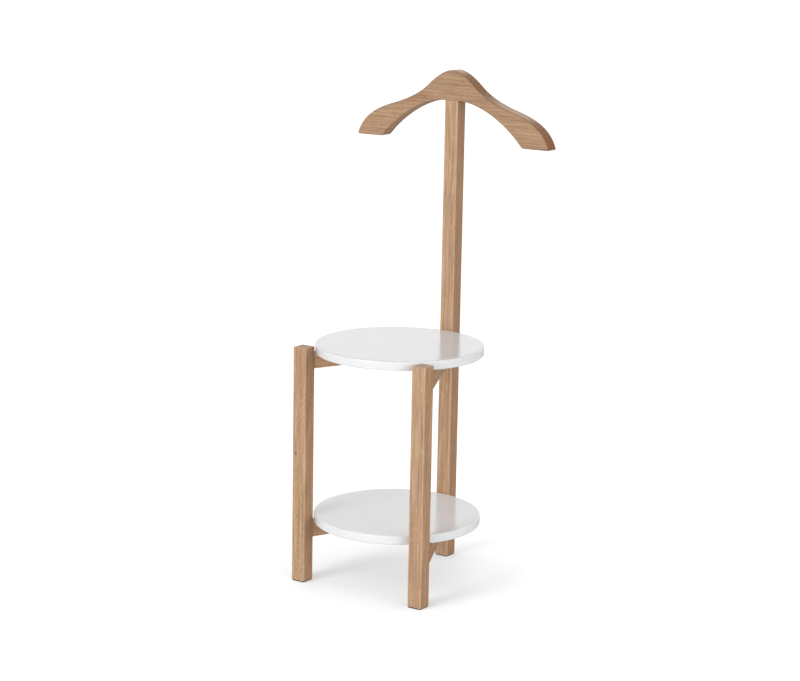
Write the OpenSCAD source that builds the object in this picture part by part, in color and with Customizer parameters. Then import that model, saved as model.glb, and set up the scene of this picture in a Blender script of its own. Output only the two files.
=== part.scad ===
// Valet stand. Two square front legs and a tall rear post carry two round shelves on V-shaped
// rail frames, and a shoulder-shaped hanger sits on top of the post.
// Millimetres, +Z up, +Y towards the rear post. The origin is on the floor, under the middle of the
// stand's overall width and depth.

/* [Stand] */
// Overall depth, from the front rim of the shelves to the back of the post
stand_depth = 385; // [380:1:400]
// Distance from the front legs' centre line back to the post's
leg_to_post = 330; // [325:1:350]
// Distance between the centre lines of the two front legs
leg_spacing = 292; // [285:1:320]
// Side of the square section of the legs and the post
leg_w = 32; // [30:1:36]
// Rounding radius of the long edges of the legs and the post
leg_edge_r = 2.5; // [1:0.5:4]
// Chamfer round both ends of the legs and the post
leg_end_chamfer = 1.2; // [0.5:0.1:2]
// Height of the front legs from the floor, glides included
leg_h = 502; // [470:1:540]

/* [Shelves] */
// Diameter of both round shelves
shelf_d = 350; // [330:1:350]
// Thickness of both shelves
shelf_t = 19; // [16:1:22]
// Rounding radius of the shelf rims
shelf_edge_r = 3; // [1:0.5:5]
// Height of the top of the upper shelf from the floor
upper_shelf_z = 505; // [480:1:520]
// Height of the top of the lower shelf from the floor
lower_shelf_z = 143; // [130:1:200]

/* [Rail frames] */
// Height of the rails under each shelf
rail_h = 31; // [30:1:40]
// Half width of each V-shaped frame where it meets the post
frame_nose_half = 24; // [22:1:28]

/* [Hanger] */
// Width of the hanger, tip to tip
hanger_w = 475; // [420:1:500]
// Height of the hanger, from its flat tips to its crown
hanger_h = 150; // [130:1:170]
// Height of the flat tips from the floor
hanger_z = 908; // [850:1:950]
// Thickness of the hanger, front to back
hanger_t = 32; // [26:1:36]

/* [Fasteners] */
// Diameter of the glued dowels between the front legs and the rails
leg_dowel_d = 8; // [6:1:10]
// Length of those dowels
leg_dowel_l = 36; // [30:1:40]
// Diameter of the glued dowels between the rails and the post
post_dowel_d = 6; // [5:1:7]
// Length of those dowels
post_dowel_l = 30; // [24:1:30]
// Length under the head of the M6 frame bolts
bolt_l = 40; // [38:1:40]
// Diameter of the wood screws that hold the shelves
screw_d = 4; // [3.5:0.5:5]
// Length of those screws
screw_l = 35; // [30:1:36]
// Side of the square glides under the feet
glide_w = 30; // [24:1:30]
// Height of the glides
glide_h = 2; // [2:0.5:4]

/* [Hidden] */
$fn = 64;

// Colours
oak = [0.78, 0.64, 0.50];
white_lacquer = [0.95, 0.95, 0.94];
beech = [0.85, 0.72, 0.55];
zinc = [0.75, 0.76, 0.78];
brass = [0.80, 0.66, 0.35];
black_nylon = [0.08, 0.08, 0.08];

// Small length by which a cutter stands past the face that it opens
past = 1;

// Plan positions
leg_x = leg_spacing / 2;
shelf_y = (shelf_d - stand_depth) / 2;
post_y = (stand_depth - leg_w) / 2;
leg_y = post_y - leg_to_post;
leg_back_y = leg_y + leg_w / 2;
post_front_y = post_y - leg_w / 2;
post_back_y = post_y + leg_w / 2;

// Height of the middle of each rail frame
upper_rail_z = upper_shelf_z - shelf_t - rail_h / 2;
lower_rail_z = lower_shelf_z - shelf_t - rail_h / 2;

// Sideways run of a rail for each millimetre that it goes back
rail_slope = (leg_x + leg_w / 2 - frame_nose_half) / (post_front_y - leg_back_y);

// Dowels between the front legs and the rails: a pair, one above the other
leg_dowel_x = leg_x - 3;
leg_dowel_dz = 8;
dowel_glue_gap = 1;

// Each rail meets the post with one bolt and one dowel. The two rails use opposite diagonals.
bolt_x = 7;
bolt_dz = 7;
post_dowel_dz = 9;

// M6 bolt with its washer and threaded insert
bolt_d = 6;
bolt_hole_d = 6.6;
bolt_head_d = 10;
bolt_head_h = 6;
hex_socket_flats = 5;
hex_socket_depth = 3;
washer_d = 12;
washer_t = 1.6;
washer_bore_d = 6.4;
counterbore_d = 12.6;
counterbore_depth = 8;
insert_d = 10;
insert_l = 13;
insert_relief = 3;
washer_seat_y = post_back_y - counterbore_depth;

// Countersunk shelf screws, driven from below through the rails
screw_head_d = 7.5;
screw_head_h = 2.5;
screw_tip_l = 5;
screw_well_d = 9;
screw_well_depth = 10;
screw_recess = [4.2, 1, 1.4];
screw_rows_y = [leg_back_y + 60, leg_back_y + 210];

// Dowels between the post and the hanger
hanger_dowel_d = 8;
hanger_dowel_l = 50;
hanger_dowel_x = 8;

// Glide nails
nail_d = 2;
nail_l = 16;
nail_head_d = 5;
nail_head_h = 0.8;
nail_recess = 0.6;
glide_corner_r = 2;
glide_chamfer = 0.4;

// Half outline of the hanger: four cubic curves in fractions of its half width and its height
hanger_seat_v = 0.58;
hanger_seat_u = leg_w / hanger_w;
hanger_crown = [[0, 1], [0.09, 1], [0.18, 0.88], [0.26, 0.765]];
hanger_saddle = [[0.26, 0.765], [0.34, 0.65], [0.47, 0.555], [0.615, 0.485]];
hanger_shoulder = [[0.615, 0.485], [0.79, 0.40], [0.95, 0.28], [1, 0]];
hanger_underside = [[0.73, 0], [0.55, 0.34], [0.28, hanger_seat_v], [hanger_seat_u, hanger_seat_v]];
hanger_curve_steps = 14;
hanger_seat_z = hanger_z + hanger_seat_v * hanger_h;

// Point at t, from 0 to 1, on the cubic curve with the four control points c
function bezier(c, t) =
    pow(1 - t, 3) * c[0] + 3 * t * pow(1 - t, 2) * c[1] + 3 * t * t * (1 - t) * c[2] + pow(t, 3) * c[3];

// The curve's points, without its last one
function curve_points(c) = [for (i = [0 : hanger_curve_steps - 1]) bezier(c, i / hanger_curve_steps)];

// Centre line of a rail at depth y
function rail_x(y) = leg_x - rail_slope * (y - leg_back_y);

// A bore along Y from its mouth at y, towards -Y when dir is -1 and towards +Y when dir is 1
module bore_y(x, y, z, d, depth, dir) {
    translate([x, y - dir * past, z]) rotate([-90 * dir, 0, 0]) cylinder(d = d, h = depth + past);
}

// Outline that chamfers both ends of an upright bar
module chamfered_side(w, h, c) {
    polygon([
        [-w / 2 + c, 0], [w / 2 - c, 0], [w / 2, c], [w / 2, h - c],
        [w / 2 - c, h], [-w / 2 + c, h], [-w / 2, h - c], [-w / 2, c]
    ]);
}

// Upright square bar with long edges rounded to radius r and ends chamfered by c
module square_bar(w, h, r, c) {
    core = w - 2 * r;
    intersection() {
        linear_extrude(h) union() {
            square([core, w], center = true);
            square([w, core], center = true);
            for (sx = [-1, 1], sy = [-1, 1])
                translate([sx * core / 2, sy * core / 2]) circle(r);
        }
        for (turn = [0, 90]) rotate([90, 0, turn])
            linear_extrude(w + past, center = true) chamfered_side(w, h, c);
    }
}

// Bore for a glide nail in the foot at x, y
module nail_bore(x, y) {
    translate([x, y, glide_h - past]) cylinder(d = nail_d, h = nail_l + past);
}

// side is -1 for the left leg and 1 for the right one
module front_leg(side) {
    color(oak) difference() {
        translate([side * leg_x, leg_y, glide_h])
            square_bar(leg_w, leg_h - glide_h, leg_edge_r, leg_end_chamfer);
        for (z = [upper_rail_z, lower_rail_z], dz = [-leg_dowel_dz, leg_dowel_dz])
            bore_y(side * leg_dowel_x, leg_back_y, z + dz, leg_dowel_d,
                   leg_dowel_l / 2 + dowel_glue_gap, -1);
        nail_bore(side * leg_x, leg_y);
    }
}

module rear_post() {
    color(oak) difference() {
        translate([0, post_y, glide_h])
            square_bar(leg_w, hanger_seat_z - glide_h, leg_edge_r, leg_end_chamfer);
        for (z = [upper_rail_z, lower_rail_z], side = [-1, 1]) {
            bore_y(side * bolt_x, post_front_y, z + side * bolt_dz, bolt_hole_d, leg_w, 1);
            bore_y(side * bolt_x, post_back_y, z + side * bolt_dz, counterbore_d, counterbore_depth, -1);
            bore_y(side * bolt_x, post_front_y, z - side * post_dowel_dz, post_dowel_d,
                   post_dowel_l / 2 + dowel_glue_gap, 1);
        }
        for (side = [-1, 1])
            translate([side * hanger_dowel_x, post_y, hanger_seat_z - hanger_dowel_l / 2 - dowel_glue_gap])
                cylinder(d = hanger_dowel_d, h = hanger_dowel_l);
        nail_bore(0, post_y);
    }
}

// Outline of the hanger, from its crown down the right side and up the left one
module hanger_outline() {
    right = concat(
        curve_points(hanger_crown), curve_points(hanger_saddle), curve_points(hanger_shoulder),
        [hanger_shoulder[3]], curve_points(hanger_underside), [hanger_underside[3]]
    );
    left = [for (i = [len(right) - 1 : -1 : 1]) [-right[i][0], right[i][1]]];
    polygon([for (p = concat(right, left)) [p[0] * hanger_w / 2, p[1] * hanger_h]]);
}

module shoulder_hanger() {
    color(oak) difference() {
        translate([0, post_y + hanger_t / 2, hanger_z]) rotate([90, 0, 0])
            linear_extrude(hanger_t) hanger_outline();
        for (side = [-1, 1])
            translate([side * hanger_dowel_x, post_y, hanger_seat_z - past])
                cylinder(d = hanger_dowel_d, h = hanger_dowel_l / 2 + dowel_glue_gap + past);
    }
}

// Well, countersink and shank hole of one shelf screw; z is the underside of the rail
module screw_hole(x, y, z) {
    translate([x, y, z - past]) cylinder(d = screw_well_d, h = screw_well_depth + past);
    translate([x, y, z + screw_well_depth]) cylinder(d1 = screw_head_d, d2 = screw_d, h = screw_head_h);
    translate([x, y, z]) cylinder(d = screw_d, h = rail_h + past);
}

// Right-hand rail seen from above: from the back face of the leg to the front face of the post
module rail_plan() {
    inner_x = leg_x - leg_w / 2;
    polygon([
        [inner_x, leg_back_y], [leg_x + leg_w / 2, leg_back_y], [frame_nose_half, post_front_y],
        [0, post_front_y], [0, leg_back_y + inner_x / rail_slope]
    ]);
}

// side is -1 for a left rail and 1 for a right one; z is the height of its middle
module rail(side, z) {
    color(oak) difference() {
        translate([0, 0, z - rail_h / 2]) linear_extrude(rail_h)
            mirror([side < 0 ? 1 : 0, 0]) rail_plan();
        for (dz = [-leg_dowel_dz, leg_dowel_dz])
            bore_y(side * leg_dowel_x, leg_back_y, z + dz, leg_dowel_d,
                   leg_dowel_l / 2 + dowel_glue_gap, 1);
        bore_y(side * bolt_x, post_front_y, z - side * post_dowel_dz, post_dowel_d,
               post_dowel_l / 2 + dowel_glue_gap, -1);
        bore_y(side * bolt_x, post_front_y, z + side * bolt_dz, insert_d, insert_l, -1);
        bore_y(side * bolt_x, post_front_y, z + side * bolt_dz, bolt_d, insert_l + insert_relief, -1);
        for (y = screw_rows_y) screw_hole(side * rail_x(y), y, z - rail_h / 2);
    }
}

// Round shelf with a rounded rim and blind pilot holes; z is the height of its top
module shelf(z) {
    pilot_depth = screw_l - (rail_h - screw_well_depth) + dowel_glue_gap;
    color(white_lacquer) difference() {
        translate([0, shelf_y, z - shelf_t]) rotate_extrude() union() {
            square([shelf_d / 2 - shelf_edge_r, shelf_t]);
            translate([0, shelf_edge_r]) square([shelf_d / 2, shelf_t - 2 * shelf_edge_r]);
            for (h = [shelf_edge_r, shelf_t - shelf_edge_r])
                translate([shelf_d / 2 - shelf_edge_r, h]) circle(shelf_edge_r);
        }
        for (side = [-1, 1], y = screw_rows_y)
            translate([side * rail_x(y), y, z - shelf_t - past]) cylinder(d = screw_d, h = pilot_depth + past);
    }
}

// Dowels of one frame into the front legs
module leg_dowels(z) {
    color(beech) for (side = [-1, 1], dz = [-leg_dowel_dz, leg_dowel_dz])
        translate([side * leg_dowel_x, leg_back_y - leg_dowel_l / 2, z + dz]) rotate([-90, 0, 0])
            cylinder(d = leg_dowel_d, h = leg_dowel_l);
}

// Dowels of one frame into the post
module post_dowels(z) {
    color(beech) for (side = [-1, 1])
        translate([side * bolt_x, post_front_y - post_dowel_l / 2, z - side * post_dowel_dz])
            rotate([-90, 0, 0]) cylinder(d = post_dowel_d, h = post_dowel_l);
}

module hanger_dowels() {
    color(beech) for (side = [-1, 1])
        translate([side * hanger_dowel_x, post_y, hanger_seat_z - hanger_dowel_l / 2])
            cylinder(d = hanger_dowel_d, h = hanger_dowel_l);
}

// M6 socket-head bolts of one frame, driven from the back of the post
module frame_bolts(z) {
    head_y = washer_seat_y + washer_t;
    color(zinc) for (side = [-1, 1])
        translate([side * bolt_x, head_y, z + side * bolt_dz]) rotate([-90, 0, 0]) difference() {
            union() {
                cylinder(d = bolt_head_d, h = bolt_head_h);
                translate([0, 0, -bolt_l]) cylinder(d = bolt_d, h = bolt_l + past);
            }
            translate([0, 0, bolt_head_h - hex_socket_depth])
                cylinder(d = hex_socket_flats / cos(30), h = hex_socket_depth + past, $fn = 6);
        }
}

module frame_washers(z) {
    color(zinc) for (side = [-1, 1])
        translate([side * bolt_x, washer_seat_y, z + side * bolt_dz]) rotate([-90, 0, 0]) difference() {
            cylinder(d = washer_d, h = washer_t);
            translate([0, 0, -past]) cylinder(d = washer_bore_d, h = washer_t + 2 * past);
        }
}

// Threaded inserts in the ends of the rails
module insert_nuts(z) {
    color(brass) for (side = [-1, 1])
        translate([side * bolt_x, post_front_y - insert_l, z + side * bolt_dz]) rotate([-90, 0, 0])
            difference() {
                cylinder(d = insert_d, h = insert_l);
                translate([0, 0, -past]) cylinder(d = bolt_d, h = insert_l + 2 * past);
            }
}

// Countersunk screws of one shelf; z is the underside of its rails
module shelf_screws(z) {
    color(zinc) for (side = [-1, 1], y = screw_rows_y)
        translate([side * rail_x(y), y, z + screw_well_depth]) difference() {
            union() {
                cylinder(d1 = screw_head_d, d2 = screw_d, h = screw_head_h);
                cylinder(d = screw_d, h = screw_l - screw_tip_l);
                translate([0, 0, screw_l - screw_tip_l]) cylinder(d1 = screw_d, d2 = 0, h = screw_tip_l);
            }
            for (turn = [0, 90]) rotate([0, 0, turn])
                cube([screw_recess[0], screw_recess[1], 2 * screw_recess[2]], center = true);
        }
}

// Square glide with a recess for its nail
module glide(x, y) {
    color(black_nylon) translate([x, y, 0]) difference() {
        square_bar(glide_w, glide_h, glide_corner_r, glide_chamfer);
        translate([0, 0, -past]) cylinder(d = nail_head_d, h = nail_recess + nail_head_h + past);
        cylinder(d = nail_d, h = glide_h + past);
    }
}

module glide_nails() {
    color(zinc) for (foot = [[-leg_x, leg_y], [leg_x, leg_y], [0, post_y]])
        translate([foot[0], foot[1], nail_recess]) union() {
            cylinder(d = nail_head_d, h = nail_head_h);
            cylinder(d = nail_d, h = nail_l);
        }
}

front_leg(-1);  // front_left_leg
front_leg(1);  // front_right_leg
rear_post();
shoulder_hanger();
rail(-1, upper_rail_z);  // upper_left_rail
rail(1, upper_rail_z);  // upper_right_rail
rail(-1, lower_rail_z);  // lower_left_rail
rail(1, lower_rail_z);  // lower_right_rail
shelf(upper_shelf_z);  // upper_shelf
shelf(lower_shelf_z);  // lower_shelf
leg_dowels(upper_rail_z);  // upper_leg_dowels
leg_dowels(lower_rail_z);  // lower_leg_dowels
post_dowels(upper_rail_z);  // upper_post_dowels
post_dowels(lower_rail_z);  // lower_post_dowels
hanger_dowels();
frame_bolts(upper_rail_z);  // upper_frame_bolts
frame_bolts(lower_rail_z);  // lower_frame_bolts
frame_washers(upper_rail_z);  // upper_frame_washers
frame_washers(lower_rail_z);  // lower_frame_washers
insert_nuts(upper_rail_z);  // upper_insert_nuts
insert_nuts(lower_rail_z);  // lower_insert_nuts
shelf_screws(upper_rail_z - rail_h / 2);  // upper_shelf_screws
shelf_screws(lower_rail_z - rail_h / 2);  // lower_shelf_screws
glide(-leg_x, leg_y);  // front_left_glide
glide(leg_x, leg_y);  // front_right_glide
glide(0, post_y);  // rear_glide
glide_nails();
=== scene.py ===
"""Looks of the valet stand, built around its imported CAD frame. Metres, +Z up, +Y towards the rear post."""

import math

import bmesh
import bpy
from mathutils import Matrix, Vector


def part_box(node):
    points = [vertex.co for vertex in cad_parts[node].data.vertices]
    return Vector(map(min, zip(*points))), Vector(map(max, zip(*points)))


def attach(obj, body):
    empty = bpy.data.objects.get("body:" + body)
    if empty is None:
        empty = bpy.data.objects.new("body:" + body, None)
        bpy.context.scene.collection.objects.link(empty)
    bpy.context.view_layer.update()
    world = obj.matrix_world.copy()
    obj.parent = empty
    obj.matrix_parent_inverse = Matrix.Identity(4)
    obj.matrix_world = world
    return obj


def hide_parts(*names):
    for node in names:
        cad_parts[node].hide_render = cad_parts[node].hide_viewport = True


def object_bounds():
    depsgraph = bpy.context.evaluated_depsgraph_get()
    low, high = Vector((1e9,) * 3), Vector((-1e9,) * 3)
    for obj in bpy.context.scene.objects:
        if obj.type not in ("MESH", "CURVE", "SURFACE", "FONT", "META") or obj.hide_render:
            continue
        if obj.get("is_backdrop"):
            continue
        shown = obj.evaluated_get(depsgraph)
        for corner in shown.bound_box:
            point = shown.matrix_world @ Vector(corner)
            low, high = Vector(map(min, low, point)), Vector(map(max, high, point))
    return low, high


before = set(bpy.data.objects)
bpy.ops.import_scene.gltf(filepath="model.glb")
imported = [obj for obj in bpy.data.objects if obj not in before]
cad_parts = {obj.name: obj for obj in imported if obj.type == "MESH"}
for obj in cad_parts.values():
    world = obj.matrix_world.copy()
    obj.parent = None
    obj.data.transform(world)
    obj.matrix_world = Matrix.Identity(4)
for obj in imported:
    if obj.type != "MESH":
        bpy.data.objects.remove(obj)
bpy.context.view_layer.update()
MM = 0.001
SIDES = (-1, 1)
UP = (0, 0, 1)
SIDEWAYS = (1, 0, 0)
# Face layer for rounded edges: the materials colour it as wear, and on the oak also as a painted highlight
EDGE = "rounded_edge_faces"

# ---------------------------------------------------------------- camera

CAMERA_PLACE = Vector((2.3792, -3.6097, 1.4305))
CAMERA_AZIMUTH = math.radians(33.515)
CAMERA_PITCH = math.radians(12.042)
CAMERA_ROLL = math.radians(1.063)
CAMERA_LENS = 95.69
SENSOR_WIDTH = 36.0
NEAREST, FARTHEST = 0.05, 200


def make_camera():
    ahead = Vector((-math.sin(CAMERA_AZIMUTH), math.cos(CAMERA_AZIMUTH), 0))
    right = Vector((math.cos(CAMERA_AZIMUTH), math.sin(CAMERA_AZIMUTH), 0))
    up = Vector((0, 0, 1))
    look = ahead * math.cos(CAMERA_PITCH) - up * math.sin(CAMERA_PITCH)
    over = up * math.cos(CAMERA_PITCH) + ahead * math.sin(CAMERA_PITCH)
    side = right * math.cos(CAMERA_ROLL) + over * math.sin(CAMERA_ROLL)
    over = over * math.cos(CAMERA_ROLL) - right * math.sin(CAMERA_ROLL)
    camera = bpy.data.objects.new("camera", bpy.data.cameras.new("camera"))
    camera.data.lens = CAMERA_LENS
    camera.data.sensor_width = SENSOR_WIDTH
    camera.data.clip_start = NEAREST
    camera.data.clip_end = FARTHEST
    axes = Matrix((side, over, -look)).transposed()
    camera.matrix_world = Matrix.Translation(CAMERA_PLACE) @ axes.to_4x4()
    bpy.context.scene.collection.objects.link(camera)
    bpy.context.scene.camera = camera


# ---------------------------------------------------------------- shader helpers


class Graph:
    """Short calls that add nodes to one material."""

    def __init__(self, name):
        self.material = bpy.data.materials.new(name)
        self.material.use_nodes = True
        self.tree = self.material.node_tree
        self.tree.nodes.clear()
        self.shader = self.tree.nodes.new("ShaderNodeBsdfPrincipled")
        out = self.tree.nodes.new("ShaderNodeOutputMaterial")
        self.link(self.shader.outputs[0], out.inputs[0])
        coordinates = self.tree.nodes.new("ShaderNodeTexCoord")
        self.place = coordinates.outputs["Object"]

    def link(self, source, socket):
        if hasattr(source, "is_output"):
            self.tree.links.new(source, socket)
        else:
            socket.default_value = source

    def math(self, operation, *values, clamp=False):
        node = self.tree.nodes.new("ShaderNodeMath")
        node.operation = operation
        node.use_clamp = clamp
        for socket, value in zip(node.inputs, values):
            self.link(value, socket)
        return node.outputs[0]

    def vector(self, operation, *values):
        node = self.tree.nodes.new("ShaderNodeVectorMath")
        node.operation = operation
        for socket, value in zip(node.inputs, values):
            self.link(value, socket)
        scalar = operation in ("DOT_PRODUCT", "LENGTH", "DISTANCE")
        return node.outputs["Value" if scalar else "Vector"]

    def xyz(self, *values):
        node = self.tree.nodes.new("ShaderNodeCombineXYZ")
        for socket, value in zip(node.inputs, values):
            self.link(value, socket)
        return node.outputs[0]

    def split(self, vector):
        node = self.tree.nodes.new("ShaderNodeSeparateXYZ")
        self.link(vector, node.inputs[0])
        return node.outputs

    def noise(self, vector, scale, detail=2.0, rough=0.5):
        node = self.tree.nodes.new("ShaderNodeTexNoise")
        self.link(vector, node.inputs["Vector"])
        node.inputs["Scale"].default_value = scale
        node.inputs["Detail"].default_value = detail
        node.inputs["Roughness"].default_value = rough
        return node.outputs["Fac"], node.outputs["Color"]

    def ramp(self, value, low, high, to_low=0.0, to_high=1.0, smooth=True):
        node = self.tree.nodes.new("ShaderNodeMapRange")
        node.interpolation_type = "SMOOTHSTEP" if smooth else "LINEAR"
        for name, number in (
            ("Value", value),
            ("From Min", low),
            ("From Max", high),
            ("To Min", to_low),
            ("To Max", to_high),
        ):
            self.link(number, node.inputs[name])
        return node.outputs[0]

    def mix(self, share, first, second, blend="MIX"):
        node = self.tree.nodes.new("ShaderNodeMix")
        node.data_type = "RGBA"
        node.blend_type = blend
        self.link(share, node.inputs[0])
        self.link(first if hasattr(first, "is_output") else (*first, 1), node.inputs[6])
        self.link(second if hasattr(second, "is_output") else (*second, 1), node.inputs[7])
        return node.outputs[2]

    def bump(self, height, strength, distance):
        node = self.tree.nodes.new("ShaderNodeBump")
        node.inputs["Strength"].default_value = strength
        node.inputs["Distance"].default_value = distance
        self.link(height, node.inputs["Height"])
        return node.outputs[0]

    def normal(self):
        return self.tree.nodes.new("ShaderNodeNewGeometry").outputs["Normal"]

    def facing(self, way):
        """1 where the surface faces this direction or its opposite, 0 where it runs along it."""
        return self.math("ABSOLUTE", self.vector("DOT_PRODUCT", self.normal(), tuple(way)))

    def edge(self):
        node = self.tree.nodes.new("ShaderNodeAttribute")
        node.attribute_name = EDGE
        return node.outputs["Fac"]

    def set(self, **values):
        for name, value in values.items():
            self.link(value, self.shader.inputs[name.replace("_", " ")])


# ---------------------------------------------------------------- materials

OAK_LIGHT = (0.530, 0.335, 0.190)
OAK_PINK = (0.490, 0.290, 0.165)
OAK_DARK = (0.250, 0.125, 0.058)
# Pale wood for light streaks and rays, and for worn edges with a painted highlight
OAK_PALE_WOOD_AND_HIGHLIGHT = (0.690, 0.490, 0.330)
OAK_END = (0.500, 0.325, 0.220)
# Painted sheen colour for faces that look up
OAK_PAINTED_SHEEN = (0.870, 0.645, 0.485)
# Darker colours for the hanger's rounded edges and for its end grain
OAK_DARK_EDGE = (0.250, 0.112, 0.045)
OAK_DARK_END = (0.360, 0.158, 0.056)
KNOT_DARK = (0.075, 0.036, 0.020)

# Noise in the wood: how often it repeats in a metre across and along the grain, its detail and its roughness
WOOD_NOISE = {
    "slow": (9, 2.4, 1.0, 0.5),
    "quick": (60, 34, 2.0, 0.5),
    "tone": (16, 2.2, 1.0, 0.5),
    "streak": (270, 12, 2.0, 0.6),
    "broad": (95, 5.0, 2.0, 0.55),
    "mottle": (330, 110, 1.0, 0.5),
    "fibre": (1100, 22, 2.0, 0.6),
    "pore": (620, 70, 1.0, 0.5),
    "ripple": (26, 9, 2.0, 0.5),
    "wear": (70, 30, 2.0, 0.5),
}
RAY_SCALE = (160, 1300, 80)
YEAR_SCALE = 0.73
SLOW_BEND = 30 * MM
QUICK_BEND = 4 * MM

# Nearly all of a noise lies in this span
MOST = (0.3, 0.7)

# From where to where a field takes effect
RING_END = (0.34, 0.0)
RING_START = (0.84, 1.0)
TONE_CUT = (0.36, 0.66)
PORE_CUT = (0.60, 0.70)
RAY_CUT = (0.66, 0.76)
PALE_CUT = (0.48, 0.28)
WEAR_CUT = (0.35, 0.65)
END_FACING = (0.55, 0.97)
TOP_FACING = (0.84, 0.96)
NOT_BELOW = (-0.40, -0.10)
SIDE_FADE = 0.30

# How strong each effect is
FAINT_YEAR = 0.35
PORE_ANYWHERE = 0.45
RING_DARK = 0.34
PORE_DARK = 0.36
STREAK_LIGHT = 0.40
RAY_LIGHT = 0.25
END_SHARE = 0.62
OAK_GLOSS = (0.40, 0.52)
PORE_ROUGH, WEAR_SMOOTH, END_ROUGH = 0.18, 0.15, 0.28
FIBRE_HEIGHT, RING_DEPTH = 0.35, 0.25

RIPPLE_PITCH = 15 * MM
RIPPLE_SLOPE = 1.55
RIPPLE_QUICK_BEND = 24 * MM
RIPPLE_SLOW_BEND = 45 * MM
RIPPLE_FRONT = (0.7, 0.3, 0.25, 1.0)
RIPPLE_PATCHES = (0.42, 0.60, 0.10, 1.0)
CREST = (0.1, 0.95)
TROUGH = (-0.2, -0.9)

KNOT_SHAPE = (1 / (1.2 * MM), 1 / (1.2 * MM), 1 / (3.6 * MM))
KNOT_RAGGED = 1.2
KNOT_EDGE = (1.6, 0.7)
KNOT_SHARE = 0.92


def oak(
    name, grain, across, pith, tone=(1, 1, 1), wavy=1.0, ring=0.0045, mottled=0.12, ripple=0.0,
    knot=None, side_face=SIDEWAYS, side_from=0.60, painted_side_shade=(0.93, 0.86, 0.78), end_tint=OAK_END,
    painted_sheen=0.35, rim=0.45, rim_tint=OAK_PALE_WOOD_AND_HIGHLIGHT,
):
    """Solid oiled oak.

    grain and across are directions, and pith is a point on the tree's centre line. wavy bends the rings,
    which are a ring's width apart. mottled adds small clouds, ripple a slanting figure, and knot is the
    place of a pin knot. A painted side shade colours the faces along side_face, from a turn of side_from
    on; end_tint colours the end grain and rim_tint the rounded edges, worn and with a painted highlight
    (on the hanger darker). A painted sheen pales the faces that look up. tone multiplies the whole colour,
    and on the rails it is painted light and shade.
    """
    g = Graph(name)
    grain, across = Vector(grain).normalized(), Vector(across).normalized()
    third = grain.cross(across)
    local = g.vector("SUBTRACT", g.place, tuple(pith))
    u, v, w = (g.vector("DOT_PRODUCT", local, tuple(a)) for a in (across, third, grain))

    def scaled(by_u, by_v, by_w):
        return g.xyz(*(g.math("MULTIPLY", place, by) for place, by in ((u, by_u), (v, by_v), (w, by_w))))

    def wood(field):
        wide, along, detail, rough = WOOD_NOISE[field]
        return g.noise(scaled(wide, wide, along), 1.0, detail, rough)

    def centred(field):
        return g.split(g.vector("SUBTRACT", wood(field)[1], (0.5, 0.5, 0.5)))

    slow, quick = centred("slow"), centred("quick")

    def bent(place, axis):
        far = g.math("MULTIPLY", slow[axis], SLOW_BEND)
        near = g.math("MULTIPLY", quick[axis], QUICK_BEND * wavy)
        return g.math("ADD", place, g.math("ADD", far, near))

    # Growth rings, bent by slow and quick waves along the grain
    radius = g.vector("LENGTH", g.xyz(bent(u, 0), bent(v, 1), 0.0))
    count = g.math("DIVIDE", radius, ring)
    phase = g.math("FRACT", count)
    early = g.math("ADD", g.ramp(phase, *RING_END), g.ramp(phase, *RING_START), clamp=True)
    year = g.noise(g.xyz(g.math("FLOOR", count), 0.0, 0.0), YEAR_SCALE, detail=1.0)[0]
    early = g.math("MULTIPLY", early, g.ramp(year, *MOST, FAINT_YEAR, 1.0))

    # What darkens and lightens the wood
    tone_patch, streak, broad, mottle, fibre = (
        wood(field)[0] for field in ("tone", "streak", "broad", "mottle", "fibre")
    )
    pore_share = g.math("ADD", PORE_ANYWHERE, g.math("MULTIPLY", early, 1 - PORE_ANYWHERE))
    pore = g.math("MULTIPLY", g.ramp(wood("pore")[0], *PORE_CUT), pore_share)
    fleck = g.ramp(g.noise(scaled(*RAY_SCALE), 1.0, detail=1.0)[0], *RAY_CUT)
    colour = g.mix(g.ramp(tone_patch, *TONE_CUT), OAK_LIGHT, OAK_PINK)
    dark = g.math("MULTIPLY", early, RING_DARK)
    for field, start, full, share in (
        (streak, 0.46, 0.70, 0.36),
        (broad, 0.48, 0.70, 0.20),
        (mottle, 0.46, 0.72, mottled),
        (fibre, 0.45, 0.75, 0.18),
    ):
        dark = g.math("ADD", dark, g.ramp(field, start, full, 0.0, share))
    dark = g.math("ADD", dark, g.math("MULTIPLY", pore, PORE_DARK), clamp=True)
    light = g.ramp(streak, *PALE_CUT, 0.0, STREAK_LIGHT)
    light = g.math("ADD", light, g.math("MULTIPLY", fleck, RAY_LIGHT), clamp=True)
    if ripple:
        lean = g.math("SUBTRACT", w, g.math("MULTIPLY", g.math("ADD", u, v), RIPPLE_SLOPE))
        lean = g.math("ADD", lean, g.math("MULTIPLY", quick[2], RIPPLE_QUICK_BEND))
        lean = g.math("ADD", lean, g.math("MULTIPLY", slow[2], RIPPLE_SLOW_BEND))
        wave = g.math("SINE", g.math("MULTIPLY", lean, 2 * math.pi / RIPPLE_PITCH))
        front = g.ramp(g.facing(SIDEWAYS), *RIPPLE_FRONT)
        here = g.math("MULTIPLY", front, g.ramp(wood("ripple")[0], *RIPPLE_PATCHES))
        crest = g.math("MULTIPLY", g.ramp(wave, *CREST, 0.0, ripple), here)
        trough = g.math("MULTIPLY", g.ramp(wave, *TROUGH, 0.0, ripple), here)
        dark = g.math("ADD", dark, crest, clamp=True)
        light = g.math("ADD", light, trough, clamp=True)
    colour = g.mix(dark, colour, OAK_DARK)
    colour = g.mix(light, colour, OAK_PALE_WOOD_AND_HIGHLIGHT)
    if knot:
        away = g.vector("MULTIPLY", g.vector("SUBTRACT", g.place, tuple(knot)), tuple(KNOT_SHAPE))
        away = g.math("ADD", g.vector("LENGTH", away), g.math("MULTIPLY", quick[0], KNOT_RAGGED))
        colour = g.mix(g.ramp(away, *KNOT_EDGE, 0.0, KNOT_SHARE), colour, KNOT_DARK)
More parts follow.
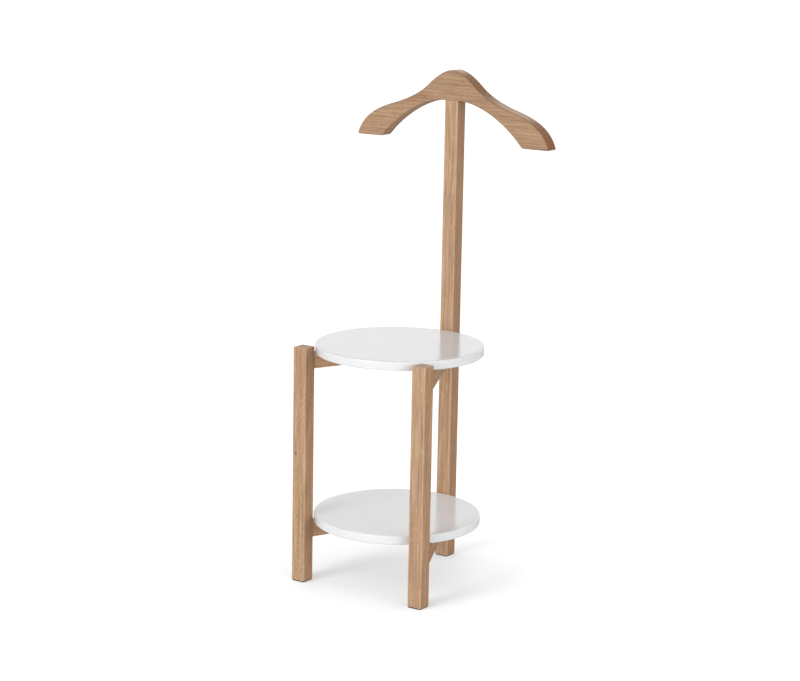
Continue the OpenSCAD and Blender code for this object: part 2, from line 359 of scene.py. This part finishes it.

    # End grain; painted shade on side faces; painted sheen on faces that look up; worn edges with a painted
    # highlight; tone
    end = g.ramp(g.facing(grain), *END_FACING)
    colour = g.mix(g.math("MULTIPLY", end, END_SHARE), colour, end_tint)
    # Painted shade: faces turned along side_face are darkened, as if turned from the light
    painted_shade_share = g.ramp(g.facing(side_face), side_from, side_from + SIDE_FADE)
    painted_shade_share = g.math("MULTIPLY", painted_shade_share, g.ramp(g.split(g.normal())[2], *NOT_BELOW))
    colour = g.mix(painted_shade_share, colour, g.mix(1.0, colour, painted_side_shade, "MULTIPLY"))
    # Painted sheen: faces that look up are paled, as if catching the light
    colour = g.mix(g.ramp(g.split(g.normal())[2], *TOP_FACING, 0.0, painted_sheen), colour, OAK_PAINTED_SHEEN)
    # Rounded edges: wear with a painted highlight on the oak; the hanger's are drawn darker
    wear = g.math("MULTIPLY", g.edge(), g.ramp(wood("wear")[0], *WEAR_CUT, rim / 2, rim))
    colour = g.mix(wear, colour, rim_tint)
    # tone multiplies the whole colour; the rails' tones are painted light and shade
    colour = g.mix(1.0, colour, tone, "MULTIPLY")

    rough = g.ramp(streak, *MOST, *OAK_GLOSS, smooth=False)
    rough = g.math("ADD", rough, g.math("MULTIPLY", pore, PORE_ROUGH))
    rough = g.math("SUBTRACT", rough, g.math("MULTIPLY", wear, WEAR_SMOOTH))
    rough = g.math("ADD", rough, g.math("MULTIPLY", end, END_ROUGH))
    sunk = g.math("ADD", pore, g.math("MULTIPLY", early, RING_DEPTH))
    height = g.math("SUBTRACT", g.math("MULTIPLY", fibre, FIBRE_HEIGHT), sunk)
    g.set(Base_Color=colour, Roughness=rough, Normal=g.bump(height, strength=0.35, distance=0.25 * MM))
    g.shader.inputs["Specular IOR Level"].default_value = 0.5
    return g.material


LACQUER_SPECK = (0.62, 0.61, 0.59)
LACQUER_WORN = (0.74, 0.73, 0.71)
LACQUER_CLOUD = 0.985
CLOUD_SCALE, SPECK_SCALE, RIM_WEAR_SCALE, PEEL_SCALE = 9.0, 900.0, 60.0, 420.0
SMEAR_SCALE = (22.0, 22.0, 22.0)
LYING = (0.2, 0.9)
SPECK_CUT = (0.70, 0.78)
SPECK_SHARE = 0.10
RIM_WEAR = (0.40, 0.70, 0.0, 0.30)
LACQUER_GLOSS = (0.15, 0.21)
RIM_WEAR_ROUGH = 0.3


def lacquer(name, white, painted_rim_shade):
    """Sprayed white lacquer on a board: faint orange peel, tone clouds, worn rim, painted shade on the rim's
    side.
    """
    g = Graph(name)
    cloud = g.noise(g.place, CLOUD_SCALE, detail=3.0)[0]
    colour = g.mix(g.ramp(cloud, *MOST), [LACQUER_CLOUD * c for c in white], white)
    # Painted shade: faces that don't lie flat, the rim's side, are multiplied by the rim shade colour
    lying = g.ramp(g.math("ABSOLUTE", g.split(g.normal())[2]), *LYING)
    colour = g.mix(lying, g.mix(1.0, colour, painted_rim_shade, "MULTIPLY"), colour)
    speck = g.ramp(g.noise(g.place, SPECK_SCALE, detail=1.0)[0], *SPECK_CUT)
    colour = g.mix(g.math("MULTIPLY", speck, SPECK_SHARE), colour, LACQUER_SPECK)
    worn = g.ramp(g.noise(g.place, RIM_WEAR_SCALE, detail=3.0)[0], *RIM_WEAR)
    wear = g.math("MULTIPLY", g.edge(), worn)
    colour = g.mix(wear, colour, LACQUER_WORN)
    smear = g.noise(g.vector("MULTIPLY", g.place, SMEAR_SCALE), 1.0, detail=3.0)[0]
    rough = g.math("ADD", g.ramp(smear, *MOST, *LACQUER_GLOSS), g.math("MULTIPLY", wear, RIM_WEAR_ROUGH))
    peel = g.noise(g.place, PEEL_SCALE)[0]
    g.set(Base_Color=colour, Roughness=rough, Normal=g.bump(peel, strength=0.10, distance=0.1 * MM))
    g.shader.inputs["Specular IOR Level"].default_value = 0.65
    return g.material


BEECH_PALE = (0.66, 0.46, 0.29)
BEECH_DEEP = (0.56, 0.37, 0.22)
BEECH_FLECK = (0.40, 0.24, 0.13)
BEECH_FIBRE_SCALE = (900, 60, 900)
BEECH_FLECK_SCALE = (1500, 300, 1500)
BEECH_FLECK_CUT = (0.62, 0.72)
BEECH_FLECK_SHARE = 0.5
BEECH_GLOSS = (0.55, 0.68)


def beech(name):
    """Pale beech dowels: short flecks and fluting-like fibre."""
    g = Graph(name)
    fibre = g.noise(g.vector("MULTIPLY", g.place, BEECH_FIBRE_SCALE), 1.0)[0]
    fleck = g.noise(g.vector("MULTIPLY", g.place, BEECH_FLECK_SCALE), 1.0, detail=1.0)[0]
    fleck = g.math("MULTIPLY", g.ramp(fleck, *BEECH_FLECK_CUT), BEECH_FLECK_SHARE)
    colour = g.mix(g.ramp(fibre, *MOST), BEECH_PALE, BEECH_DEEP)
    colour = g.mix(fleck, colour, BEECH_FLECK)
    rough = g.ramp(fibre, *MOST, *BEECH_GLOSS)
    g.set(Base_Color=colour, Roughness=rough, Normal=g.bump(fibre, strength=0.4, distance=0.2 * MM))
    return g.material


SCRATCH_SCALE = (5200, 300, 5200)
DULL_CUT = (0.35, 0.65)
METAL_GLOSS = (0.7, 1.3, 0.24, 0.44)


def metal(name, tint, dull, scale):
    """Plated or machined metal: cloudy tint, turned scratches, dull patches."""
    g = Graph(name)
    cloud = g.noise(g.place, scale, detail=3.0)[0]
    scratch = g.noise(g.vector("MULTIPLY", g.place, SCRATCH_SCALE), 1.0)[0]
    colour = g.mix(g.ramp(cloud, *DULL_CUT), tint, dull)
    rough = g.ramp(g.math("ADD", cloud, scratch), *METAL_GLOSS)
    g.set(Base_Color=colour, Roughness=rough, Normal=g.bump(scratch, strength=0.25, distance=0.05 * MM))
    g.shader.inputs["Metallic"].default_value = 1.0
    return g.material


NYLON_BLACK = (0.020, 0.020, 0.021)
NYLON_SCUFF = (0.060, 0.058, 0.055)
NYLON_TEXTURE = 2600.0
SCUFF_SCALE = (260, 780, 260)
SCUFF_CUT = (0.52, 0.72)
NYLON_GLOSS = (0.42, 0.62)


def nylon(name):
    """Moulded black nylon with fine texture and scuffs."""
    g = Graph(name)
    grain = g.noise(g.place, NYLON_TEXTURE)[0]
    scuff = g.noise(g.vector("MULTIPLY", g.place, SCUFF_SCALE), 1.0, detail=3.0)[0]
    scuff = g.ramp(scuff, *SCUFF_CUT)
    colour = g.mix(scuff, NYLON_BLACK, NYLON_SCUFF)
    rough = g.ramp(scuff, 0.0, 1.0, *NYLON_GLOSS)
    g.set(Base_Color=colour, Roughness=rough, Normal=g.bump(grain, strength=0.3, distance=0.1 * MM))
    return g.material


# ---------------------------------------------------------------- mesh helpers


FULL_AREA_WEIGHT = 100


def finish_mesh(name, mesh, material, node):
    """Turns a mesh in frame coordinates into a piece that stands for a CAD node."""
    for face in mesh.polygons:
        face.use_smooth = True
    piece = bpy.data.objects.new(name, mesh)
    bpy.context.scene.collection.objects.link(piece)
    mesh.materials.append(material)
    even = piece.modifiers.new("even_normals", "WEIGHTED_NORMAL")
    even.weight = FULL_AREA_WEIGHT
    even.keep_sharp = True
    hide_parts(node)
    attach(piece, "root")
    return piece


def to_mesh(name, bm):
    bmesh.ops.recalc_face_normals(bm, faces=bm.faces)
    mesh = bpy.data.meshes.new(name)
    bm.to_mesh(mesh)
    bm.free()
    return mesh


def edge_layer(bm):
    return bm.faces.layers.float.get(EDGE) or bm.faces.layers.float.new(EDGE)


def round_edges(bm, edges, radius, steps):
    """Rounds these edges and marks the new faces in the rounded-edge layer, which the materials colour as
    wear and, on the oak, a painted highlight.
    """
    layer = edge_layer(bm)
    made = bmesh.ops.bevel(
        bm, geom=list(edges), offset=radius, segments=steps, profile=0.5,
        affect="EDGES", clamp_overlap=True,
    )
    for face in made["faces"]:
        face[layer] = 1.0


def prism(outline, low, high, lift):
    """A closed prism from an outline of 2-D points. lift(x, y, t) gives a 3-D point at each of its ends."""
    bm = bmesh.new()
    edge_layer(bm)
    ends = [[bm.verts.new(lift(x, y, t)) for x, y in outline] for t in (low, high)]
    bm.faces.new(ends[0])
    bm.faces.new(list(reversed(ends[1])))
    count = len(outline)
    for i in range(count):
        j = (i + 1) % count
        bm.faces.new((ends[0][i], ends[1][i], ends[1][j], ends[0][j]))
    bmesh.ops.recalc_face_normals(bm, faces=bm.faces)
    return bm


def bored(mesh_name, bm, cutters):
    """The mesh of bm with the cutters taken out. A cutter is a mesh built by bore()."""
    body = bpy.data.objects.new("work_body", to_mesh(mesh_name, bm))
    bpy.context.scene.collection.objects.link(body)
    tools = []
    for cutter in cutters:
        tool = bpy.data.objects.new("work_tool", cutter)
        bpy.context.scene.collection.objects.link(tool)
        tools.append(tool)
        cut = body.modifiers.new("cut", "BOOLEAN")
        cut.operation = "DIFFERENCE"
        cut.solver = "EXACT"
        cut.object = tool
    graph = bpy.context.evaluated_depsgraph_get()
    mesh = bpy.data.meshes.new_from_object(
        body.evaluated_get(graph), preserve_all_data_layers=True, depsgraph=graph
    )
    mesh.name = mesh_name
    mesh.materials.clear()
    for thing in [body, *tools]:
        bpy.data.objects.remove(thing)
    return mesh


BORE_STEPS = 40


def bore(profile, place, axis):
    """A cutter turned from (radius, depth) pairs, going from place along axis."""
    axis = Vector(axis).normalized()
    side = axis.orthogonal().normalized()
    other = axis.cross(side)
    bm = bmesh.new()
    rings = []
    for radius, depth in profile:
        ring = []
        for i in range(BORE_STEPS):
            turn = 2 * math.pi * i / BORE_STEPS
            spoke = side * math.cos(turn) + other * math.sin(turn)
            ring.append(bm.verts.new(Vector(place) + axis * depth + spoke * radius))
        rings.append(ring)
    bm.faces.new(rings[0])
    bm.faces.new(list(reversed(rings[-1])))
    for first, second in zip(rings, rings[1:]):
        for i in range(BORE_STEPS):
            j = (i + 1) % BORE_STEPS
            bm.faces.new((first[i], second[i], second[j], first[j]))
    return to_mesh("cutter", bm)


# ---------------------------------------------------------------- sizes from the CAD

leg_low, leg_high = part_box("front_right_leg")
_, post_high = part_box("rear_post")
hanger_low, hanger_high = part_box("shoulder_hanger")
SECTION = leg_high.x - leg_low.x
EDGE_ROUND = 2.5 * MM
EDGE_STEPS = 5
END_CHAMFER = 1.2 * MM
END_STEPS = 3
LIP = 0.5 * MM
PAST = 1 * MM
NEAR = 1e-6
SAME = 1e-7


def upright(name, node, cutters, material):
    """A square bar with rounded long edges and eased ends."""
    low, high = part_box(node)
    bm = bmesh.new()
    edge_layer(bm)
    bmesh.ops.create_cube(bm, size=1)
    size, middle = high - low, (low + high) / 2
    for vert in bm.verts:
        vert.co = Vector([middle[i] + vert.co[i] * size[i] for i in range(3)])
    tall = [e for e in bm.edges if abs(e.verts[0].co.z - e.verts[1].co.z) > size.z / 2]
    round_edges(bm, tall, EDGE_ROUND, EDGE_STEPS)
    rims = [
        e for e in bm.edges
        if abs(e.verts[0].co.z - e.verts[1].co.z) < NEAR
        and (abs(e.verts[0].co.z - low.z) < NEAR or abs(e.verts[0].co.z - high.z) < NEAR)
    ]
    round_edges(bm, rims, END_CHAMFER, END_STEPS)
    mesh = bored(name, bm, cutters) if cutters else to_mesh(name, bm)
    return finish_mesh(name, mesh, material, node)


COUNTERBORE = 6.3 * MM
COUNTERBORE_DEPTH = 8 * MM
BOLT_SPREAD = 7 * MM


def counterbores():
    """Cutters for the bolt heads in the back of the post, placed by the CAD washers."""
    made = []
    for node in ("upper_frame_washers", "lower_frame_washers"):
        low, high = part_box(node)
        middle = (low + high) / 2
        for side in SIDES:
            place = (middle.x + side * BOLT_SPREAD, post_high.y, middle.z + side * BOLT_SPREAD)
            profile = [
                (COUNTERBORE + LIP + PAST, -PAST),
                (COUNTERBORE, LIP),
                (COUNTERBORE, COUNTERBORE_DEPTH),
            ]
            made.append(bore(profile, place, (0, -1, 0)))
    return made


# Hanger outline: cubic curves in fractions of its half width and its height
HANGER_SEAT = 0.58
HANGER_CURVES = (
    ((0, 1), (0.09, 1), (0.18, 0.88), (0.26, 0.765)),
    ((0.26, 0.765), (0.34, 0.65), (0.47, 0.555), (0.615, 0.485)),
    ((0.615, 0.485), (0.79, 0.40), (0.95, 0.28), (1, 0)),
    ((0.73, 0), (0.55, 0.34), (0.28, HANGER_SEAT), (SECTION / (hanger_high.x - hanger_low.x), HANGER_SEAT)),
)
HANGER_STEPS = 22
HANGER_ROUND = 1.9 * MM
HANGER_ROUND_STEPS = 4
TIP_ROUND = 3.5 * MM
TIP_STEPS = 5


def bezier(c, t):
    weights = ((1 - t) ** 3, 3 * t * (1 - t) ** 2, 3 * t * t * (1 - t), t**3)
    return [sum(k * p[i] for k, p in zip(weights, c)) for i in (0, 1)]


def hanger_outline():
    half, tall = (hanger_high.x - hanger_low.x) / 2, hanger_high.z - hanger_low.z
    right = []
    for i, curve in enumerate(HANGER_CURVES):
        right += [bezier(curve, k / HANGER_STEPS) for k in range(HANGER_STEPS)]
        if i >= 2:
            right.append(list(curve[3]))
    points = [(u * half, hanger_low.z + v * tall) for u, v in right]
    return points + [(-x, z) for x, z in reversed(points[1:])]


def make_hanger(material):
    outline = hanger_outline()
    bm = prism(outline, hanger_low.y, hanger_high.y, lambda x, z, y: (x, y, z))
    tips = []
    for edge in bm.edges:
        first, second = (v.co for v in edge.verts)
        along_y = abs(first.y - second.y) > SECTION / 2
        if along_y and abs(first.z - hanger_low.z) < NEAR:
            tips.append(edge)
    round_edges(bm, tips, TIP_ROUND, TIP_STEPS)
    rims = [
        e for e in bm.edges
        if abs(e.verts[0].co.y - e.verts[1].co.y) < SAME
        and any(abs(e.verts[0].co.y - y) < SAME for y in (hanger_low.y, hanger_high.y))
    ]
    round_edges(bm, rims, HANGER_ROUND, HANGER_ROUND_STEPS)
    return finish_mesh("hanger_body", to_mesh("hanger_body", bm), material, "shoulder_hanger")


NOSE_HALF = 24 * MM
RAIL_ROUND = 1.0 * MM
RAIL_STEPS = 3
SLANTED = 20 * MM
WELL = 4.5 * MM
WELL_DEPTH = 10 * MM
SCREW_ROWS = (60 * MM, 210 * MM)


def make_rail(name, node, side, material):
    """One arm of a V-shaped frame, with the wells of its shelf screws."""
    low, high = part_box(node)
    outer, inner = leg_high.x, leg_low.x
    slope = (outer - NOSE_HALF) / (high.y - low.y)
    plan = [
        (inner, low.y), (outer, low.y), (NOSE_HALF, high.y), (0, high.y), (0, low.y + inner / slope),
    ]
    plan = [(side * x, y) for x, y in plan]
    bm = prism(plan, low.z, high.z, lambda x, y, z: (x, y, z))
    soft = []
    for edge in bm.edges:
        a, b = (v.co for v in edge.verts)
        flat = abs(a.z - b.z) < SAME
        if flat and abs(a.x - b.x) > SLANTED and abs(a.y - b.y) > SLANTED:
            soft.append(edge)
    round_edges(bm, soft, RAIL_ROUND, RAIL_STEPS)
    middle = (inner + outer) / 2
    cutters = []
    for row in SCREW_ROWS:
        place = (side * (middle - slope * row), low.y + row, low.z)
        profile = [(WELL + LIP + PAST, -PAST), (WELL, LIP), (WELL, WELL_DEPTH)]
        cutters.append(bore(profile, place, (0, 0, 1)))
    return finish_mesh(name, bored(name, bm, cutters), material, node)


RIM_ROUND = 3 * MM
RIM_STEPS = 6
FLAT_RINGS = (0.03, 0.08, 0.13, 0.165)
SHELF_STEPS = 240


def make_shelf(name, node, material):
    """A turned board with a softly rounded rim."""
    low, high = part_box(node)
    radius, middle = (high.x - low.x) / 2, (low + high) / 2
    profile = [(r, low.z, 0) for r in FLAT_RINGS]
    for corner, (centre, start) in enumerate(((low.z + RIM_ROUND, -90), (high.z - RIM_ROUND, 0)), 1):
        for k in range(RIM_STEPS + 1):
            turn = math.radians(start + 90 * k / RIM_STEPS)
            out = radius - RIM_ROUND + RIM_ROUND * math.cos(turn)
            profile.append((out, centre + RIM_ROUND * math.sin(turn), corner))
    profile += [(r, high.z, 0) for r in reversed(FLAT_RINGS)]
    bm = bmesh.new()
    layer = edge_layer(bm)
    rings = []
    for r, z, _ in profile:
        ring = []
        for i in range(SHELF_STEPS):
            turn = 2 * math.pi * i / SHELF_STEPS
            ring.append(bm.verts.new((middle.x + r * math.cos(turn), middle.y + r * math.sin(turn), z)))
        rings.append(ring)
    for k, (first, second) in enumerate(zip(rings, rings[1:])):
        rounded = profile[k][2] and profile[k][2] == profile[k + 1][2]
        for i in range(SHELF_STEPS):
            j = (i + 1) % SHELF_STEPS
            face = bm.faces.new((first[i], first[j], second[j], second[i]))
            face[layer] = 1.0 if rounded else 0.0
    for ring in (rings[0], rings[-1]):
        hub = bm.verts.new((middle.x, middle.y, ring[0].co.z))
        for i in range(SHELF_STEPS):
            bm.faces.new((ring[i], ring[(i + 1) % SHELF_STEPS], hub))
    return finish_mesh(name, to_mesh(name, bm), material, node)


# ---------------------------------------------------------------- the stand

make_camera()

# Painted shade on the post's side faces
PAINTED_POST_SHADE = (0.80, 0.71, 0.61)
# Shelf whites: one lacquer in lit and shaded copies, painted light: the upper shelf darker, the lower
# brighter
WHITES_WITH_PAINTED_LIGHT = {"upper": (0.882, 0.886, 0.892), "lower": (0.945, 0.957, 0.968)}
# Painted shade on the shelves' rim sides
PAINTED_RIM_SHADE = {"upper": (0.925, 0.925, 0.925), "lower": (0.897, 0.889, 0.881)}
KNOT = (-leg_low.x - 23 * MM, leg_low.y, 277 * MM)

left_leg = upright(
    "left_leg_bar", "front_left_leg", [],
    oak("oak_left_leg", UP, SIDEWAYS, (-0.205, -0.060, 0.10), wavy=1.6, ring=0.006, mottled=0.2,
        ripple=0.17, knot=KNOT),
)
right_leg = upright(
    "right_leg_bar", "front_right_leg", [],
    oak("oak_right_leg", UP, SIDEWAYS, (0.060, -0.290, 0.35), wavy=0.6),
)
post = upright(
    "post_bar", "rear_post", counterbores(),
    oak("oak_post", UP, SIDEWAYS, (0.090, 0.330, -0.40), wavy=0.7, painted_side_shade=PAINTED_POST_SHADE),
)
# The hanger gets painted shade on its steep and end faces and a strong painted sheen on faces that look up;
# its end grain and rounded edges are drawn darker
make_hanger(
    oak(
        "oak_hanger", SIDEWAYS, UP, (0.30, 0.245, 0.760), tone=(0.83, 0.80, 0.77), wavy=1.3, ring=0.007,
        mottled=0.2, side_from=0.38, painted_side_shade=(0.78, 0.60, 0.45), end_tint=OAK_DARK_END, painted_sheen=0.8,
        rim=0.6, rim_tint=OAK_DARK_EDGE,
    )
)

# Each hand's colour multiplier is painted light and shade: the left rails lighter, the right rails darker
RAIL_HANDS_AND_PAINTED_LIGHT = (("left", -1, (1.08, 1.03, 0.96)), ("right", 1, (0.79, 0.69, 0.49)))
RAIL_PITH_X = 0.12
RAIL_PITH_Y = -0.05
PITH_BELOW = 0.09
PITH_ABOVE = 0.12

for level in ("upper", "lower"):
    for hand, side, tone in RAIL_HANDS_AND_PAINTED_LIGHT:
        node = f"{level}_{hand}_rail"
        low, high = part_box(node)
        run = Vector((side * (NOSE_HALF - leg_high.x), high.y - low.y, 0)).normalized()
        pith_z = low.z - PITH_BELOW if level == "upper" else high.z + PITH_ABOVE
        pith = (side * RAIL_PITH_X, RAIL_PITH_Y, pith_z)
        timber = oak(f"oak_{node}", run, UP, pith, tone=tone, wavy=0.8, side_face=UP)
        make_rail(f"{level}_{hand}_arm", node, side, timber)
    paint = lacquer(f"lacquer_{level}", WHITES_WITH_PAINTED_LIGHT[level], PAINTED_RIM_SHADE[level])
    make_shelf(f"{level}_board", f"{level}_shelf", paint)

# Hidden joinery and hardware keep their CAD shapes
zinc = metal("zinc_plate", (0.62, 0.64, 0.67), (0.46, 0.48, 0.50), 420.0)
brass = metal("brass_insert", (0.70, 0.52, 0.24), (0.52, 0.38, 0.17), 380.0)
beech_wood = beech("beech_dowel")
black = nylon("black_nylon")
FINISHES = (
    ("dowels", beech_wood, "beech"),
    ("bolts", zinc, "zinc_steel"),
    ("washers", zinc, "zinc_steel"),
    ("screws", zinc, "zinc_steel"),
    ("nails", zinc, "zinc_steel"),
    ("nuts", brass, "brass"),
    ("glide", black, "black_nylon"),
)
for node, thing in sorted(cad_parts.items()):
    for ending, material, slot in FINISHES:
        if node.endswith(ending):
            thing.data.materials.clear()
            thing.data.materials.append(material)

# ---------------------------------------------------------------- stage and light

FLOOR_HALF = 60.0
FLOOR_GLOW = 0.76
SHADE_REACH = 0.9
SHADE_DEPTH = 0.54
SHADE_SPREAD = 0.85
SHADE_SAMPLES = 8
SHADE_OPEN, SHADE_SHUT = 1.0, 0.30
FLOOR_SEEN = 0.50
FLOOR_WHITE = 0.61
STREAK_FROM = (-0.26, -0.97, 0.155)
STREAK_POWER = 4.4
STREAK_SPREAD = math.radians(28)
FLOOR_TINT = (0.988, 1.0, 1.008)


def make_floor():
    """A plain pale floor. To the camera it is lifted towards white by a glow, so that only soft shadows show
    on it; near the stand the glow is dimmed by ambient occlusion, a painted soft shadow.
    """
    mesh = bpy.data.meshes.new("floor")
    corners = [(x * FLOOR_HALF, y * FLOOR_HALF, 0) for x, y in ((-1, -1), (1, -1), (1, 1), (-1, 1))]
    mesh.from_pydata(corners, [], [(0, 1, 2, 3)])
    floor = bpy.data.objects.new("floor", mesh)
    bpy.context.scene.collection.objects.link(floor)
    g = Graph("pale_floor")
    g.shader.inputs["Specular IOR Level"].default_value = 0.0
    tree = g.tree
    glow = tree.nodes.new("ShaderNodeEmission")
    path = tree.nodes.new("ShaderNodeLightPath")
    shade = tree.nodes.new("ShaderNodeAmbientOcclusion")
    shade.inputs["Distance"].default_value = SHADE_REACH
    shade.samples = SHADE_SAMPLES
    # Painted shadow: the camera's glow is dimmed where ambient occlusion finds the stand near
    closed = g.ramp(shade.outputs["AO"], SHADE_OPEN, SHADE_SHUT, smooth=False)
    closed = g.math("POWER", closed, SHADE_SPREAD)
    lift = g.ramp(closed, 0.0, 1.0, FLOOR_GLOW, FLOOR_GLOW * (1 - SHADE_DEPTH), smooth=False)
    g.link(g.math("MULTIPLY", path.outputs["Is Camera Ray"], lift), glow.inputs["Strength"])
    seen = g.ramp(path.outputs["Is Camera Ray"], 0.0, 1.0, FLOOR_WHITE, FLOOR_SEEN, smooth=False)
    colour = g.vector("MULTIPLY", g.xyz(seen, seen, seen), FLOOR_TINT)
    g.set(Base_Color=colour, Roughness=0.9)
    both = tree.nodes.new("ShaderNodeAddShader")
    g.link(g.shader.outputs[0], both.inputs[0])
    g.link(glow.outputs[0], both.inputs[1])
    out = next(n for n in tree.nodes if n.type == "OUTPUT_MATERIAL")
    g.link(both.outputs[0], out.inputs[0])
    mesh.materials.append(g.material)
    floor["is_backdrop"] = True
    return floor


def linked(name, things):
    collection = bpy.data.collections.new(name)
    for thing in things:
        collection.objects.link(thing)
    return collection


def light_streaks(floor, uprights):
    """A low sun on the floor alone, which only the uprights shade: it makes the faint streaks behind them."""
    data = bpy.data.lights.new("streak_sun", "SUN")
    data.energy = STREAK_POWER
    data.angle = STREAK_SPREAD
    lamp = bpy.data.objects.new("streak_sun", data)
    lamp.rotation_mode = "QUATERNION"
    lamp.rotation_quaternion = (-Vector(STREAK_FROM)).to_track_quat("-Z", "Y")
    bpy.context.scene.collection.objects.link(lamp)
    lamp.light_linking.receiver_collection = linked("streaks_fall_on", [floor])
    lamp.light_linking.blocker_collection = linked("streaks_come_from", uprights)


SKY_BRIGHT, SKY_DIM = 1.80, 0.42
DIM_FROM, DIM_TO = 0.16, 0.60


def make_world():
    """White studio: bright near the horizon, dimmer overhead."""
    world = bpy.data.worlds.new("studio")
    bpy.context.scene.world = world
    world.use_nodes = True
    tree = world.node_tree
    tree.nodes.clear()
    out = tree.nodes.new("ShaderNodeOutputWorld")
    back = tree.nodes.new("ShaderNodeBackground")
    place = tree.nodes.new("ShaderNodeTexCoord")
    parts = tree.nodes.new("ShaderNodeSeparateXYZ")
    fall = tree.nodes.new("ShaderNodeMapRange")
    fall.interpolation_type = "SMOOTHSTEP"
    fall.inputs["From Min"].default_value = DIM_FROM
    fall.inputs["From Max"].default_value = DIM_TO
    fall.inputs["To Min"].default_value = SKY_BRIGHT
    fall.inputs["To Max"].default_value = SKY_DIM
    tree.links.new(place.outputs["Generated"], parts.inputs[0])
    tree.links.new(parts.outputs[2], fall.inputs["Value"])
    tree.links.new(fall.outputs[0], back.inputs["Strength"])
    tree.links.new(back.outputs[0], out.inputs[0])


AIM = (0, 0, 0.45)
SOFT_LIGHTS = (
    ("low_key", (-0.3, -4.3, 0.95), (1.1, 1.6), 48),
    ("high_key", (-0.9, -3.0, 3.2), (1.3, 1.1), 22),
    ("side_fill", (4.2, -1.0, 1.2), (2.4, 2.0), 44),
)


def soft_light(name, place, size, power):
    data = bpy.data.lights.new(name, "AREA")
    data.shape = "RECTANGLE"
    data.size, data.size_y = size
    data.energy = power
    lamp = bpy.data.objects.new(name, data)
    lamp.location = place
    lamp.rotation_mode = "QUATERNION"
    lamp.rotation_quaternion = (Vector(AIM) - Vector(place)).to_track_quat("-Z", "Y")
    bpy.context.scene.collection.objects.link(lamp)


light_streaks(make_floor(), [left_leg, right_leg, post])
make_world()
for light in SOFT_LIGHTS:
    soft_light(*light)

bpy.context.scene.view_settings.view_transform = "Standard"

low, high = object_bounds()
